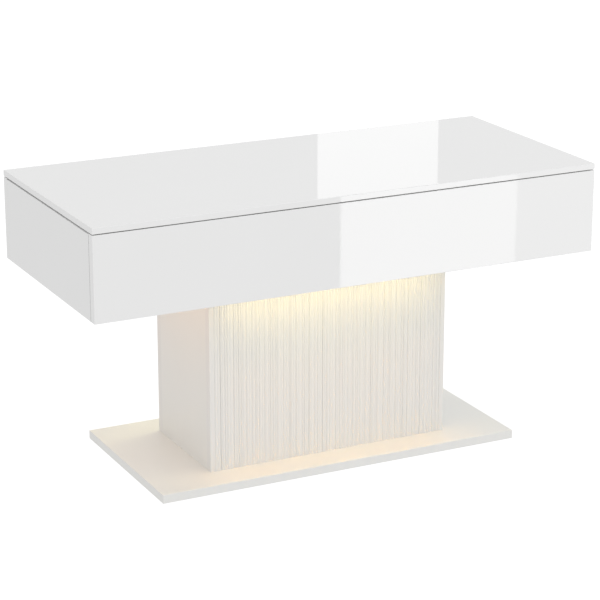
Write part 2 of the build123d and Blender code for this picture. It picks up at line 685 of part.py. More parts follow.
def led_strip():
    """A flexible circuit strip on the channel's floor, with its row of LEDs facing down."""
    y = (CHANNEL_MIDDLE_Y - STRIP_WIDTH / 2, CHANNEL_MIDDLE_Y + STRIP_WIDTH / 2)
    strip_z = CHANNEL_Z[1] - CHANNEL_WALL - STRIP_THICK
    x = (CHANNEL_X[0] + STRIP_END_GAP, CHANNEL_X[1] - STRIP_END_GAP)
    tape = block(x, y, (strip_z, strip_z + STRIP_THICK))
    led = Box(LED_LENGTH, LED_WIDTH, LED_HEIGHT, align=(Align.CENTER, Align.CENTER, Align.MAX))
    count = int((CHANNEL_LENGTH - 20) / LED_PITCH)
    first_x = -(count - 1) * LED_PITCH / 2
    leds = [Pos(first_x + i * LED_PITCH, CHANNEL_MIDDLE_Y, strip_z) * led for i in range(count)]
    return group([tape] + leds)


def channel_end_caps():
    caps = []
    for side in (-1, 1):
        x0 = side * CHANNEL_LENGTH / 2
        limits = sorted((x0, x0 + side * END_CAP_THICK))
        caps.append(fillet(block(limits, CHANNEL_Y, CHANNEL_Z).edges().filter_by(Axis.X), 0.6))
    notch = block((CHANNEL_X[1] - 1, CHANNEL_X[1] + 3), (CHANNEL_MIDDLE_Y - 2, CHANNEL_MIDDLE_Y + 2),
                  (LEAD_EXIT_Z - 2, LEAD_EXIT_Z + 2))
    caps[1] -= notch
    return caps


def grommet():
    """A soft ring in the front fluted panel where the leads pass inside."""
    y0 = -PEDESTAL_Y - 1
    ring = rod((LEAD_HOLE_X, y0, LEAD_HOLE_Z), (0, 1, 0), GROMMET_RADIUS - DRILL_GAP, BOARD + 2)
    ring += rod((LEAD_HOLE_X, y0, LEAD_HOLE_Z), (0, 1, 0), GROMMET_RADIUS + 1.5, 1)
    ring += rod((LEAD_HOLE_X, -PEDESTAL_INNER_Y, LEAD_HOLE_Z), (0, 1, 0), GROMMET_RADIUS + 1.5, 1)
    return ring - rod((LEAD_HOLE_X, y0 - 1, LEAD_HOLE_Z), (0, 1, 0), GROMMET_RADIUS - 1, BOARD + 4)


CONTROLLER_X = (95, 160)
CONTROLLER_Y = (-20, 20)
CONTROLLER_Z = (BOX_UNDERSIDE - 22, BOX_UNDERSIDE)


def led_controller():
    body = block(CONTROLLER_X, CONTROLLER_Y, CONTROLLER_Z)
    return fillet(body.edges().filter_by(Axis.Z) + body.edges().group_by(Axis.Z)[0], 2)


def lead(points, radii):
    """A round lead along straight runs joined by arcs."""
    path = FilletPolyline(points, radius=radii)
    profile = Plane(origin=path @ 0, z_dir=path % 0) * Circle(LEAD_RADIUS)
    return sweep(profile, path=path)


def lead_radii(points, most=14):
    """Each arc takes as much of its two runs as leaves a short straight between arcs."""
    radii = []
    for before, corner, after in zip(points, points[1:], points[2:]):
        first = Vector(*corner) - Vector(*before)
        second = Vector(*after) - Vector(*corner)
        turn = radians(first.get_angle(second))
        reach = 0.45 * min(first.length, second.length)
        half_turn_tangent = sin(turn / 2) / cos(turn / 2)
        radii.append(min(most, reach / half_turn_tangent))
    return radii


def routed(points):
    return lead(points, lead_radii(points))


STRIP_LEAD_X = CHANNEL_X[1] - STRIP_END_GAP
PLUG_IN = 12


def front_led_lead():
    """From the front strip's right end, through the grommet, to the controller."""
    return routed([
        (STRIP_LEAD_X, CHANNEL_MIDDLE_Y, LEAD_EXIT_Z),
        (LEAD_HOLE_X + 2, CHANNEL_MIDDLE_Y + 1, LEAD_EXIT_Z),
        (LEAD_HOLE_X - 1.9, -PEDESTAL_Y - 16, LEAD_HOLE_Z),
        (LEAD_HOLE_X - 1.9, -PEDESTAL_INNER_Y + 8, LEAD_HOLE_Z),
        (184, -52, 324),
        (CONTROLLER_X[1] + PLUG_IN, -13, 323),
        (CONTROLLER_X[1], -13, 323),
    ])


def rear_led_lead():
    """The rear strip's lead, the front one's mirror image."""
    return mirror_y(front_led_lead())


SWITCH_X = (290, 326)
SWITCH_Y = (-146, -122)
SWITCH_Z = (BOX_UNDERSIDE - 11, BOX_UNDERSIDE)
BUTTON_RADIUS = 6
BUTTON_TRAVEL = 1.5
BUTTON_PROUD = 2.2
BUTTON_BODY = 4.5
BUTTON_GAP = 0.3
WELL_SPARE = 1
SWITCH_MIDDLE = (sum(SWITCH_X) / 2, sum(SWITCH_Y) / 2)


def switch_lead():
    """From the switch, along the underside of the box and through the grommet, to the controller."""
    return routed([
        (SWITCH_X[0], SWITCH_MIDDLE[1], 330),
        (SWITCH_X[0] - PLUG_IN, SWITCH_MIDDLE[1], 330),
        (232, -130, 330.5),
        (212, -131, 329),
        (LEAD_HOLE_X + 1.9, -PEDESTAL_Y - 10, LEAD_HOLE_Z),
        (LEAD_HOLE_X + 1.9, -PEDESTAL_INNER_Y + 8, LEAD_HOLE_Z),
        (188, -42, 319),
        (CONTROLLER_X[1] + PLUG_IN, -4, 317),
        (CONTROLLER_X[1], -4, 317),
    ])


SUPPLY_X = PEDESTAL_INNER_X - LEAD_RADIUS - 1.5
SUPPLY_Y = 53


def supply_lead():
    """From the power inlet, up the right side panel's inner face, to the controller."""
    return routed([
        (INLET_X, INLET_BACK_Y, INLET_Z),
        (INLET_X, INLET_BACK_Y - PLUG_IN, INLET_Z),
        (INLET_X + 24, SUPPLY_Y + 2, INLET_Z + 8),
        (SUPPLY_X, SUPPLY_Y, INLET_Z + 40),
        (SUPPLY_X, SUPPLY_Y, INLET_Z + 210),
        (SUPPLY_X - 8, SUPPLY_Y - 24, INLET_Z + 244),
        (CONTROLLER_X[1] + PLUG_IN, 6, INLET_Z + 254),
        (CONTROLLER_X[1], 6, INLET_Z + 254),
    ])


CLIP_HEIGHTS = (INLET_Z + 75, INLET_Z + 125, INLET_Z + 175)


def cable_clips():
    """Saddle clips that hold the supply lead against the side panel."""
    x1 = PEDESTAL_INNER_X
    x0 = x1 - 2 * LEAD_RADIUS - 3.4
    clips = []
    for z in CLIP_HEIGHTS:
        y = SUPPLY_Y
        body = block((x0, x1), (y - 3.6, y + 3.6), (z - 3, z + 3))
        body = fillet(body.edges().filter_by(Axis.Z).group_by(Axis.X)[0], 2)
        base = block((x1 - 1.2, x1), (y - 9, y + 9), (z - 3, z + 3))
        tunnel = rod((SUPPLY_X, y, z - 4), (0, 0, 1), LEAD_RADIUS + 0.1, 8)
        clips.append(body + base - tunnel)
    return group(clips)


def switch_housing():
    """A small screwed-on housing under the box, with its push button facing down."""
    body = block(SWITCH_X, SWITCH_Y, SWITCH_Z)
    body = fillet(body.edges().filter_by(Axis.Z), 4)
    body = fillet(body.edges().group_by(Axis.Z)[0], 1.2)
    x, y = SWITCH_MIDDLE
    well_depth = BUTTON_BODY + BUTTON_TRAVEL + WELL_SPARE
    return body - rod((x, y, SWITCH_Z[0] - 1), (0, 0, 1), BUTTON_RADIUS + BUTTON_GAP, well_depth + 1)


def switch_button():
    x, y = SWITCH_MIDDLE
    cap = rod((x, y, SWITCH_Z[0] - BUTTON_PROUD), (0, 0, 1), BUTTON_RADIUS, BUTTON_PROUD + BUTTON_BODY)
    return fillet(cap.edges().group_by(Axis.Z)[0], 0.8)


INLET_BORE = 2.85
INLET_BORE_DEPTH = 9
INLET_TIP_RADIUS = 1


def dc_inlet():
    """A panel-mounted barrel socket for a low-voltage plug, screwed in from behind."""
    face_y = PEDESTAL_Y - INLET_FLANGE_THICK
    body = rod((INLET_X, INLET_BACK_Y, INLET_Z), (0, 1, 0), INLET_RADIUS, face_y - INLET_BACK_Y)
    flange = rod((INLET_X, face_y, INLET_Z), (0, 1, 0), INLET_FLANGE_RADIUS, INLET_FLANGE_THICK)
    body += fillet(flange.edges().group_by(Axis.Y)[-1], 0.6)
    mouth_y = face_y + INLET_FLANGE_THICK
    body -= rod((INLET_X, mouth_y, INLET_Z), (0, -1, 0), INLET_BORE, INLET_BORE_DEPTH)
    tip_start = (INLET_X, mouth_y - INLET_BORE_DEPTH, INLET_Z)
    return body + rod(tip_start, (0, 1, 0), INLET_TIP_RADIUS, INLET_BORE_DEPTH - 1)


def inlet_nut():
    place = Plane(origin=(INLET_X, PEDESTAL_INNER_Y, INLET_Z), z_dir=(0, -1, 0))
    nut = extrude(place * RegularPolygon(8, 6), amount=3)
    return nut - rod((INLET_X, PEDESTAL_INNER_Y + 1, INLET_Z), (0, -1, 0), INLET_RADIUS, 6)


# ---- writing ---------------------------------------------------------------
def both_sides(shapes):
    return group(list(shapes) + [mirror_x(shape) for shape in shapes])


def front_and_rear(shapes):
    return group(list(shapes) + [mirror_y(shape) for shape in shapes])


def write(name, shape):
    export_step(shape, f"parts/{name}.step")


BASE_PIVOTS = (FRONT_PIVOT, REAR_PIVOT)
TOP_PIVOTS = (FRONT_TOP_PIVOT, REAR_TOP_PIVOT)
ALL_CAMS = BOX_CAMS + FLOOR_CAMS + PEDESTAL_CAMS
ALL_DOWELS = BOX_DOWELS + FLOOR_DOWELS + DIVIDER_DOWELS + PEDESTAL_DOWELS

os.makedirs("parts", exist_ok=True)

write("base_plate", base_plate())
write("glide_pads", glide_pads())
write("pedestal_left_side", pedestal_upright(-PEDESTAL_SIDE_MIDDLE, LEFT_SIDE_CAMS, LEFT_SIDE_DOWELS))
write("pedestal_right_side", pedestal_upright(PEDESTAL_SIDE_MIDDLE, RIGHT_SIDE_CAMS, RIGHT_SIDE_DOWELS))
write("pedestal_centre_upright", pedestal_centre())
write("fluted_front_panel", fluted_panel())
write("fluted_rear_panel", rear_fluted_panel())
write("box_bottom_panel", box_bottom())
write("box_front_panel", box_front())
write("box_rear_panel", box_rear())
write("box_right_end", box_end())
write("box_left_end", mirror_x(box_end()))
write("right_divider", divider())
write("left_divider", mirror_x(divider()))
write("lid_panel", lid_panel())
write("lid_bumpers", lid_bumpers())
write("cam_locks", group([cam.disc() for cam in ALL_CAMS]))
write("cam_bolts", group([cam.bolt() for cam in ALL_CAMS]))
write("wooden_dowels", group([dowel.peg() for dowel in ALL_DOWELS]))
write("base_screws", group([screw.screw() for screw in BASE_SCREWS]))
write("box_screws", group([screw.screw() for screw in BOX_SCREWS]))

write("right_base_bracket", base_bracket())
write("left_base_bracket", mirror_x(base_bracket()))
write("base_bracket_screws", both_sides(bracket_screws()))
write("base_pivot_pins", both_sides([base_pin(place) for place in BASE_PIVOTS]))
write("base_pivot_washers", both_sides([base_washer(place) for place in BASE_PIVOTS]))
write("link_stop_pins", both_sides([stop_pin()]))
write("spring_anchors", both_sides([spring_anchor()]))
write("right_spring", spring())
write("left_spring", mirror_x(spring()))
write("left_front_link", mirror_x(front_link(RUNNING_GAP)))
write("right_front_link", front_link(OPEN_PIVOT_GAP))
write("left_rear_link", mirror_x(rear_link()))
write("right_rear_link", rear_link())
write("left_spring_stud", mirror_x(spring_stud()))
write("right_spring_stud", spring_stud())
write("right_top_bracket", top_bracket())
write("left_top_bracket", mirror_x(top_bracket()))
write("top_pivot_pins", both_sides([top_pin(place) for place in TOP_PIVOTS]))
write("top_pivot_washers", both_sides([top_washer(place) for place in TOP_PIVOTS]))
write("top_bracket_screws", group([lid_screw(place) for place in top_screw_places()]))

write("front_led_channel", led_channel())
write("rear_led_channel", mirror_y(led_channel()))
write("front_led_strip", led_strip())
write("rear_led_strip", mirror_y(led_strip()))
write("front_led_diffuser", led_diffuser())
write("rear_led_diffuser", mirror_y(led_diffuser()))
write("led_channel_end_caps", front_and_rear(channel_end_caps()))
write("lead_grommets", front_and_rear([grommet()]))
write("led_controller", led_controller())
write("front_led_lead", front_led_lead())
write("rear_led_lead", rear_led_lead())
write("switch_lead", switch_lead())
write("supply_lead", supply_lead())
write("cable_clips", cable_clips())
write("led_switch_housing", switch_housing())
write("led_switch_button", switch_button())
write("dc_inlet", dc_inlet())
write("dc_inlet_nut", inlet_nut())
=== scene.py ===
import json
import math

import bmesh
import bpy
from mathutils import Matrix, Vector


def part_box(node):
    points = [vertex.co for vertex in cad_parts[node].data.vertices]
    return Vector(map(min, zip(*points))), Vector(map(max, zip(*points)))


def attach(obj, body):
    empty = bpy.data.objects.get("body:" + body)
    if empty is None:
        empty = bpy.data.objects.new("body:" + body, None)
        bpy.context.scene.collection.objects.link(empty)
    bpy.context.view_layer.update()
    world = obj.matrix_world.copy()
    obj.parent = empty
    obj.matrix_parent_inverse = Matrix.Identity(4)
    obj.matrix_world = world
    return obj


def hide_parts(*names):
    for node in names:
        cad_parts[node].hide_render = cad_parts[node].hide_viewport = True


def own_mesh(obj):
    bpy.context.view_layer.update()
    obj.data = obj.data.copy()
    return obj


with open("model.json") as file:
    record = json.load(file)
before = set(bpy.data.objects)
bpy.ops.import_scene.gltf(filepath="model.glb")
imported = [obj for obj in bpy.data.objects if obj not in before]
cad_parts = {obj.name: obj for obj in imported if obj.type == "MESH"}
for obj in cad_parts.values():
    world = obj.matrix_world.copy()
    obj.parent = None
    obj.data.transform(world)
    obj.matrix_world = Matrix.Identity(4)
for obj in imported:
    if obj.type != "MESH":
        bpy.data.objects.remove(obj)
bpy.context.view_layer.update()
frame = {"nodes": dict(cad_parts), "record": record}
nodes = frame["nodes"]

# ---- driving values, in metres and degrees ---------------------------------
CAMERA_PLACE = (-1.580, -3.166, 1.376)
CAMERA_AZIMUTH = -26.5
CAMERA_ELEVATION = 17.62
CAMERA_LENS_MM = 131.4
CAMERA_SENSOR_MM = 36.0
CAMERA_REACH = 100.0

FLOOR_RADIUS = 6.0
FLOOR_SEEN = 0.97
FLOOR_BOUNCE = 0.754
FLOOR_PAINT = (0.14, 0.14, 0.14, 1.0)
FLOOR_SIDES = 96
ROOM_LEVEL = 1.085
ROOM_UP = 0.036
ROOM_RIGHT = 0.197
ROOM_FRONT = 0.17
ROOM_LEAST = 0.05

LID_CARD = {"x": (1.049, 1.427), "y": 2.0, "z": (0.4, 2.2)}
FRONT_CARD = {"x": (0.389, 0.805), "y": -1.0, "z": (0.01, 0.46)}
FRONT_DIM_CARD = {"x": (0.805, 1.6), "y": -1.0, "z": (0.01, 0.46)}
LID_CARD_GLOW = 1.32
FRONT_CARD_GLOW = 3.7
FRONT_DIM_CARD_GLOW = 2.0

LED_WIDE = {"watts": 0.079, "colour": (1.0, 0.77, 0.1), "beam": 180.0}
LED_PEAK = {"watts": 0.065, "colour": (1.0, 0.45, 0.02), "beam": 42.0}
LED_REAR = {"watts": 0.27, "colour": (1.0, 0.906, 0.307), "beam": 180.0}
LED_OVERREACH = 0.036
LED_INSET = 0.004
LED_DROP = 0.001
SPILL_WARM = (1.0, 0.42, 0.01)
SPILL_WATTS = 0.11
SPILL_DROP = 0.004
SPILL_INSET_X = 0.02
SPILL_INSET_Y = 0.06
DIFFUSER_GLOW = 3.9
TAPE_GLOW = 2.1

SPRING_WIRE = 0.001
SPRING_COIL_RADIUS = 0.0055
SPRING_EYE_RADIUS = 0.005
SPRING_NECK = 0.004
SPRING_TURNS = 32
SPRING_BEND_POINTS = 14

# Painted shade: within this reach an ambient-occlusion test darkens the gloss lacquer's colour towards
# this grey in board joints and other tight corners.
JOINT_SHADE_REACH = 0.0016
PAINTED_JOINT_SHADE = (0.04, 0.04, 0.04)


# ---- node helpers ----------------------------------------------------------
class Shader:
    """A new material with a Principled surface, and short calls that add nodes to it."""

    def __init__(self, name, colour, roughness, **sockets):
        self.material = bpy.data.materials.new(name)
        self.material.use_nodes = True
        self.tree = self.material.node_tree
        self.surface = self.tree.nodes["Principled BSDF"]
        self.surface.inputs["Base Color"].default_value = (*colour, 1.0)
        self.surface.inputs["Roughness"].default_value = roughness
        for socket, value in sockets.items():
            self.surface.inputs[socket.replace("_", " ")].default_value = value
        self.coordinates = self.add("ShaderNodeTexCoord").outputs["Object"]

    def add(self, kind, **inputs):
        node = self.tree.nodes.new(kind)
        for socket, value in inputs.items():
            node.inputs[socket.replace("_", " ")].default_value = value
        return node

    def link(self, output, target):
        self.tree.links.new(output, target)

    def noise(self, scale, detail=3.0, stretch=(1, 1, 1), roughness=0.5):
        mapping = self.add("ShaderNodeMapping")
        mapping.inputs["Scale"].default_value = stretch
        self.link(self.coordinates, mapping.inputs["Vector"])
        texture = self.add("ShaderNodeTexNoise", Scale=scale, Detail=detail, Roughness=roughness)
        self.link(mapping.outputs["Vector"], texture.inputs["Vector"])
        return texture.outputs["Fac"]

    def span(self, value, low, high, source=(0.3, 0.7)):
        node = self.add("ShaderNodeMapRange")
        node.inputs["From Min"].default_value = source[0]
        node.inputs["From Max"].default_value = source[1]
        node.inputs["To Min"].default_value = low
        node.inputs["To Max"].default_value = high
        self.link(value, node.inputs["Value"])
        return node.outputs["Result"]

    def mix(self, factor, first, second):
        node = self.add("ShaderNodeMix")
        node.data_type = "RGBA"
        sockets = [s for s in node.inputs if s.type == "RGBA"]
        for socket, value in zip(sockets, (first, second)):
            if isinstance(value, tuple):
                socket.default_value = (*value, 1.0)
            else:
                self.link(value, socket)
        self.link(factor, node.inputs[0])
        return [s for s in node.outputs if s.type == "RGBA"][0]

    def colour(self, output):
        self.link(output, self.surface.inputs["Base Color"])

    def roughness(self, output):
        self.link(output, self.surface.inputs["Roughness"])

    def bump(self, height, distance, strength=1.0, under=None):
        node = self.add("ShaderNodeBump", Strength=strength, Distance=distance)
        self.link(height, node.inputs["Height"])
        if under is not None:
            self.link(under, node.inputs["Normal"])
        self.link(node.outputs["Normal"], self.surface.inputs["Normal"])
        return node.outputs["Normal"]


def shades(colour, spread):
    """The same colour a little darker and a little lighter."""
    return tuple(c * (1 - spread) for c in colour), tuple(min(1.0, c * (1 + spread)) for c in colour)


# ---- materials -------------------------------------------------------------
def gloss_lacquer():
    """Polished white lacquer: near-mirror, with a faint orange peel, slow waves and painted shade
    darkening the board joints and other tight corners.
    """
    colour = (0.912, 0.912, 0.91)
    s = Shader("gloss_lacquer", colour, 0.03, IOR=1.5)
    lacquer = s.mix(s.span(s.noise(7.0, 2.0), 0, 1), *shades(colour, 0.004))
    # Painted shade: ambient occlusion darkens the colour in the board joints and wherever the boards meet
    # other parts closely.
    painted_joint_shade = s.add("ShaderNodeAmbientOcclusion", Distance=JOINT_SHADE_REACH).outputs["AO"]
    s.colour(s.mix(s.span(painted_joint_shade, 0, 1, (0.45, 0.95)), PAINTED_JOINT_SHADE, lacquer))
    s.roughness(s.span(s.noise(28.0, 4.0), 0.015, 0.04))
    waves = s.bump(s.noise(9.0, 1.0), 0.00004)
    s.bump(s.noise(420.0, 2.0), 0.000004, 0.6, under=waves)
    return s.material


def satin_lacquer():
    """Sprayed satin lacquer on the base board and the pedestal's sides."""
    colour = (0.86, 0.856, 0.83)
    s = Shader("satin_lacquer", colour, 0.38, IOR=1.48)
    s.colour(s.mix(s.span(s.noise(11.0, 4.0), 0, 1), *shades(colour, 0.008)))
    s.roughness(s.span(s.noise(90.0, 3.0), 0.33, 0.44))
    s.bump(s.noise(1500.0, 2.0), 0.000012, 0.5)
    return s.material


def fluted_lacquer():
    """Matt lacquer over milled reeds: fine fibre along each reed and a little tone from reed to reed."""
    colour = (0.842, 0.836, 0.822)
    s = Shader("fluted_lacquer", colour, 0.5, IOR=1.46)
    reed_tone = s.span(s.noise(210.0, 2.0, (1, 0.02, 0.01)), 0, 1)
    s.colour(s.mix(reed_tone, *shades(colour, 0.008)))
    s.roughness(s.span(s.noise(160.0, 3.0, (1, 1, 0.1)), 0.44, 0.58))
    s.bump(s.noise(1300.0, 3.0, (1, 1, 0.06)), 0.000015, 0.3)
    return s.material


def melamine():
    """White melamine with its fine pearl texture."""
    colour = (0.84, 0.838, 0.825)
    s = Shader("melamine", colour, 0.42)
    s.colour(s.mix(s.span(s.noise(14.0, 3.0), 0, 1), *shades(colour, 0.01)))
    s.roughness(s.span(s.noise(200.0, 3.0), 0.36, 0.48))
    s.bump(s.noise(900.0, 4.0), 0.00003, 0.7)
    return s.material


def powder_coat():
    """Grey powder coat: a leathery fine bump and small changes in gloss."""
    colour = (0.19, 0.195, 0.2)
    s = Shader("powder_coat", colour, 0.45, Metallic=0.15)
    s.colour(s.mix(s.span(s.noise(60.0, 4.0), 0, 1), *shades(colour, 0.06)))
    s.roughness(s.span(s.noise(300.0, 3.0), 0.36, 0.55))
    s.bump(s.noise(1600.0, 3.0), 0.00004, 0.8)
    return s.material


def turned_steel():
    """Bright turned steel with fine rings of tool marks."""
    colour = (0.62, 0.62, 0.63)
    s = Shader("turned_steel", colour, 0.26, Metallic=1.0)
    s.colour(s.mix(s.span(s.noise(240.0, 4.0), 0, 1), *shades(colour, 0.07)))
    s.roughness(s.span(s.noise(700.0, 3.0, (1, 0.2, 0.2)), 0.18, 0.36))
    s.bump(s.noise(2600.0, 2.0, (1, 0.1, 0.1)), 0.000008, 0.6)
    return s.material


def zinc_plate():
    """Zinc plate with its faint bluish and yellowish clouding."""
    s = Shader("zinc_plate", (0.66, 0.67, 0.68), 0.3, Metallic=1.0)
    s.colour(s.mix(s.span(s.noise(180.0, 4.0), 0, 1), (0.60, 0.62, 0.65), (0.70, 0.69, 0.64)))
    s.roughness(s.span(s.noise(500.0, 3.0), 0.24, 0.42))
    s.bump(s.noise(1800.0, 3.0), 0.00001, 0.6)
    return s.material


def spring_wire():
    """Oil-darkened spring wire with drawing lines."""
    colour = (0.30, 0.30, 0.32)
    s = Shader("spring_wire", colour, 0.3, Metallic=1.0)
    s.colour(s.mix(s.span(s.noise(400.0, 4.0), 0, 1), *shades(colour, 0.12)))
    s.roughness(s.span(s.noise(900.0, 3.0), 0.22, 0.42))
    s.bump(s.noise(3000.0, 2.0), 0.000006, 0.6)
    return s.material


def anodised_aluminium():
    """Extruded, anodised aluminium with die lines along its length."""
    colour = (0.74, 0.745, 0.75)
    s = Shader("anodised_aluminium", colour, 0.34, Metallic=0.9)
    s.colour(s.mix(s.span(s.noise(500.0, 3.0, (0.02, 1, 1)), 0, 1), *shades(colour, 0.04)))
    s.roughness(s.span(s.noise(900.0, 3.0, (0.02, 1, 1)), 0.28, 0.42))
    s.bump(s.noise(2400.0, 2.0, (0.01, 1, 1)), 0.00001, 0.6)
    return s.material


def opal_diffuser():
    """Opal plastic glowing warm, brighter over each LED behind it."""
    s = Shader("opal_diffuser", (0.95, 0.9, 0.78), 0.35)
    s.surface.inputs["Emission Strength"].default_value = DIFFUSER_GLOW
    glow = s.mix(s.span(s.noise(60.0, 1.0, (1, 0, 0)), 0, 1), (1.0, 0.76, 0.42), (1.0, 0.84, 0.55))
    s.link(glow, s.surface.inputs["Emission Color"])
    s.roughness(s.span(s.noise(600.0, 3.0), 0.3, 0.42))
    s.bump(s.noise(1500.0, 2.0), 0.00001, 0.5)
    return s.material


def led_tape():
    """White circuit tape carrying yellow phosphor squares."""
    s = Shader("led_tape", (0.86, 0.85, 0.8), 0.4)
    s.material.cycles.emission_sampling = "NONE"
    s.surface.inputs["Emission Strength"].default_value = TAPE_GLOW
    s.surface.inputs["Emission Color"].default_value = (1.0, 0.78, 0.42, 1.0)
    s.colour(s.mix(s.span(s.noise(300.0, 3.0), 0, 1), (0.9, 0.78, 0.42), (0.92, 0.9, 0.84)))
    s.roughness(s.span(s.noise(700.0, 3.0), 0.32, 0.5))
    return s.material


def moulded(name, colour, roughness, grain=0.00003, spread=0.02):
    """Moulded plastic or rubber with a spark-eroded grain."""
    s = Shader(name, colour, roughness)
    s.colour(s.mix(s.span(s.noise(50.0, 3.0), 0, 1), *shades(colour, spread)))
    s.roughness(s.span(s.noise(350.0, 3.0), roughness * 0.85, min(1.0, roughness * 1.15)))
    s.bump(s.noise(1800.0, 3.0), grain, 0.7)
    return s.material


def felt():
    """Pressed felt: soft fibres and a fuzzy sheen."""
    colour = (0.7, 0.7, 0.68)
    s = Shader("felt", colour, 0.95)
    s.surface.inputs["Sheen Weight"].default_value = 0.4
    s.surface.inputs["Sheen Roughness"].default_value = 0.6
    s.colour(s.mix(s.span(s.noise(700.0, 5.0, roughness=0.7), 0, 1), *shades(colour, 0.12)))
    s.bump(s.noise(1500.0, 5.0, roughness=0.7), 0.0002, 0.8)
    return s.material


def beech():
    """Beech dowel: warm, with short flecks along the grain."""
    s = Shader("beech", (0.62, 0.42, 0.24), 0.6)
    grain = s.span(s.noise(500.0, 4.0, (1, 0.08, 1)), 0, 1)
    s.colour(s.mix(grain, (0.52, 0.34, 0.19), (0.70, 0.50, 0.31)))
    s.roughness(s.span(s.noise(400.0, 3.0), 0.5, 0.7))
    s.bump(s.noise(1200.0, 3.0, (1, 0.06, 1)), 0.00004, 0.7)
    return s.material


def clear_bumper():
    """Clear soft pad: milky, slightly see-through."""
    colour = (0.88, 0.89, 0.88)
    s = Shader("clear_bumper", colour, 0.12, IOR=1.46)
    s.surface.inputs["Transmission Weight"].default_value = 0.55
    s.colour(s.mix(s.span(s.noise(120.0, 2.0), 0, 1), *shades(colour, 0.02)))
    s.roughness(s.span(s.noise(300.0, 2.0), 0.08, 0.18))
    s.bump(s.noise(700.0, 2.0), 0.00001, 0.5)
    return s.material


MATERIAL_OF_SLOT = {
    "gloss_lacquer_board": gloss_lacquer(),
    "satin_lacquer_board": satin_lacquer(),
    "fluted_board": fluted_lacquer(),
    "melamine_board": melamine(),
    "felt_pad": felt(),
    "clear_bumper": clear_bumper(),
    "zinc_fitting": zinc_plate(),
    "beech_dowel": beech(),
    "mechanism_steel": powder_coat(),
    "bright_steel_pin": turned_steel(),
    "nylon_washer": moulded("nylon", (0.8, 0.79, 0.74), 0.45),
    "spring_steel": spring_wire(),
    "anodised_aluminium": anodised_aluminium(),
    "led_tape": led_tape(),
    "opal_diffuser": opal_diffuser(),
    "white_plastic": moulded("white_plastic", (0.8, 0.8, 0.79), 0.42),
    "soft_rubber": moulded("soft_rubber", (0.72, 0.72, 0.71), 0.7, 0.00006),
    "white_lead": moulded("white_lead", (0.78, 0.78, 0.77), 0.5, 0.00001),
    "black_plastic": moulded("black_plastic", (0.02, 0.02, 0.022), 0.38),
}


def dress_cad_nodes():
    for subpart in frame["record"]["subparts"]:
        cad = nodes[subpart["node"]]
        cad.data.materials.clear()
        cad.data.materials.append(MATERIAL_OF_SLOT[subpart["material_slot"]])


# ---- springs ---------------------------------------------------------------
def ring_points(centre, axis, across, radius, start, end, count):
    """Points round an arc that starts along axis and turns towards across."""
    points = []
    for i in range(count + 1):
        angle = math.radians(start + (end - start) * i / count)
        points.append(centre + axis * (radius * math.cos(angle)) + across * (radius * math.sin(angle)))
    return points


def spring_points(low, high):
    """The wire's line: an eye, the coil and an eye, from the lever's stud to the anchor."""
    reach = SPRING_EYE_RADIUS + SPRING_WIRE
    middle_x = (low.x + high.x) / 2
    front = Vector((middle_x, low.y + reach, high.z - reach))
    rear = Vector((middle_x, high.y - reach, low.z + reach))
    axis = (rear - front).normalized()
    side = Vector((1, 0, 0))
    across = axis.cross(side)
    span = (rear - front).length
    coil_start = SPRING_EYE_RADIUS + SPRING_NECK
    coil_length = span - 2 * coil_start
    points = ring_points(front, axis, across, SPRING_EYE_RADIUS, 330, 20, 2 * SPRING_BEND_POINTS)
    steps = SPRING_TURNS * SPRING_BEND_POINTS
    for i in range(steps + 1):
        turn = 2 * math.pi * SPRING_TURNS * i / steps
        along = front + axis * (coil_start + coil_length * i / steps)
        round_axis = across * math.cos(turn) + side * math.sin(turn)
        points.append(along + round_axis * SPRING_COIL_RADIUS)
    points += ring_points(rear, axis, across, SPRING_EYE_RADIUS, 160, -150, 2 * SPRING_BEND_POINTS)
    return points, axis, rear


def make_spring(name, node):
    """A wound wire that takes the CAD spring's place."""
    points, axis, anchor = spring_points(*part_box(node))
    curve = bpy.data.curves.new(name, "CURVE")
    curve.dimensions = "3D"
    curve.bevel_depth = SPRING_WIRE
    curve.bevel_resolution = 3
    curve.use_fill_caps = True
    spline = curve.splines.new("NURBS")
    spline.points.add(len(points) - 1)
    for place, point in zip(spline.points, points):
        place.co = (*point, 1.0)
    spline.order_u = 3
    spline.use_endpoint_u = True
    curve.resolution_u = 2
    draft = bpy.data.objects.new(name + "_draft", curve)
    bpy.context.scene.collection.objects.link(draft)
    bpy.context.view_layer.update()
    mesh = bpy.data.meshes.new_from_object(draft)
    bpy.data.objects.remove(draft)
    for polygon in mesh.polygons:
        polygon.use_smooth = True
    piece = bpy.data.objects.new(name, mesh)
    bpy.context.scene.collection.objects.link(piece)
    mesh.materials.clear()
    mesh.materials.append(MATERIAL_OF_SLOT["spring_steel"])
    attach(piece, "cabinet")
    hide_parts(node)
    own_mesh(piece)


# ---- stage: floor, cards, lights, camera -----------------------------------
def emission(name, colour, strength):
    """An even glow that bounced rays find by themselves, without being sampled as a light."""
    material = bpy.data.materials.new(name)
    material.use_nodes = True
    material.cycles.emission_sampling = "NONE"
    tree = material.node_tree
    tree.nodes.clear()
    glow = tree.nodes.new("ShaderNodeEmission")
    glow.inputs["Color"].default_value = (*colour, 1.0)
    glow.inputs["Strength"].default_value = strength
    output = tree.nodes.new("ShaderNodeOutputMaterial")
    tree.links.new(glow.outputs["Emission"], output.inputs["Surface"])
    return material


